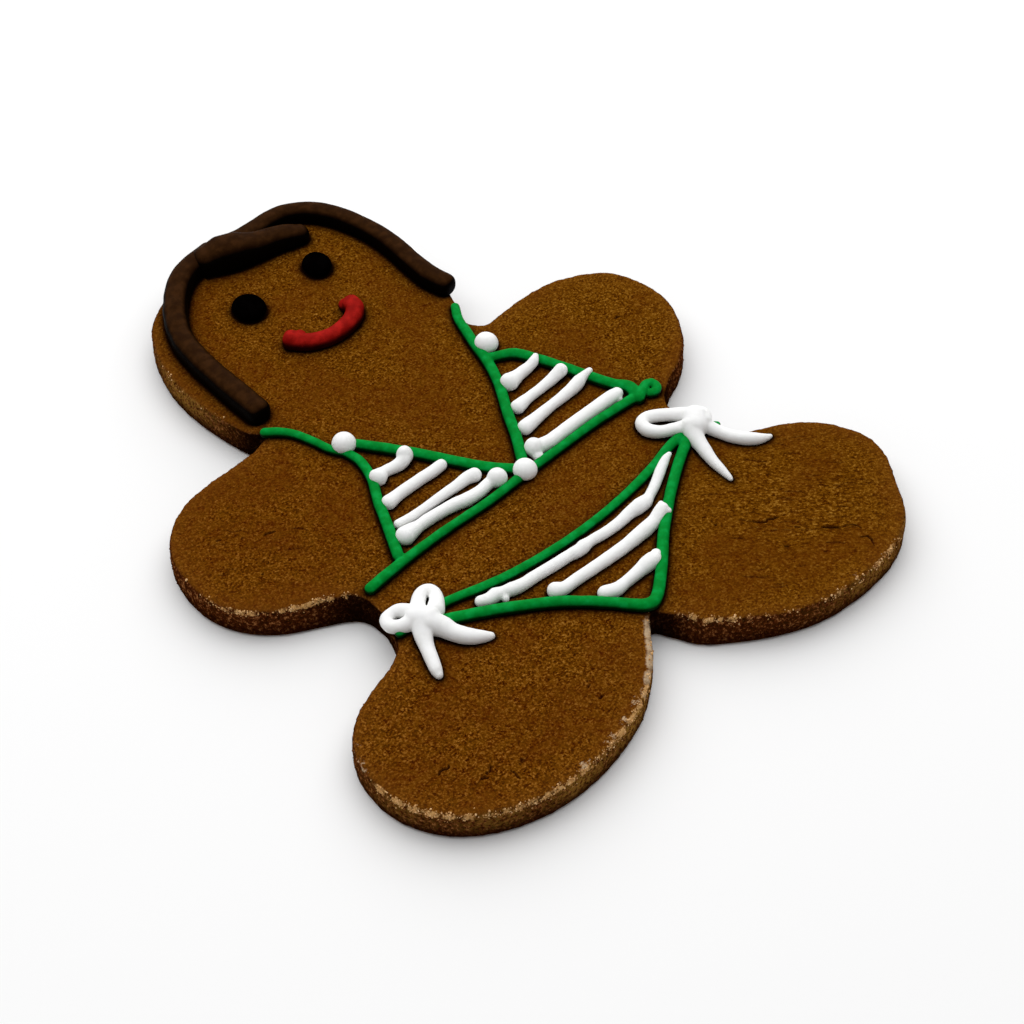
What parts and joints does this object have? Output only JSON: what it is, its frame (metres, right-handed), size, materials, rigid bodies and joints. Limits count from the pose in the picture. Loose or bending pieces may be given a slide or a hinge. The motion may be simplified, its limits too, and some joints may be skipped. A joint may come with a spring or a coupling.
{
  "type": "gingerbread man cookie",
  "caption": "Flat gingerbread figure with round head, arms and legs, piped with brown hair, dot eyes, a red smile and a green and white striped swimsuit tied with bows.",
  "frame": {"origin": "middle of the figure's bounding box, on the flat underside that it lies on", "axes": "+Y from the feet to the head, +X towards the figure's left hand, +Z out of its iced face"},
  "size_m": [0.1034, 0.1284, 0.0108],
  "materials": {
    "gingerbread": "matte baked dough, fine grained, floury along its rims",
    "brown_icing": "satin set icing",
    "black_icing": "satin set icing",
    "red_icing": "satin set icing",
    "green_icing": "satin set icing",
    "white_icing": "satin set icing"
  },
  "bodies": {
    "root": {"dough": "gingerbread", "hair_right": "brown_icing", "hair_left": "brown_icing", "hair_fringe": "brown_icing", "mouth": "red_icing", "right_eye": "black_icing", "left_eye": "black_icing", "top_cords": "green_icing", "bottom_cords": "green_icing", "right_shoulder_bead": "white_icing", "left_shoulder_bead": "white_icing", "middle_bead": "white_icing", "right_cup_stripe_1": "white_icing", "right_cup_stripe_2": "white_icing", "right_cup_stripe_3": "white_icing", "right_cup_stripe_4": "white_icing", "left_cup_stripe_1": "white_icing", "left_cup_stripe_2": "white_icing", "left_cup_stripe_3": "white_icing", "left_cup_stripe_4": "white_icing", "bottom_stripe_1": "white_icing", "bottom_stripe_2": "white_icing", "bottom_stripe_3": "white_icing", "right_bow": "white_icing", "left_bow": "white_icing"}
  },
  "joints": []
}
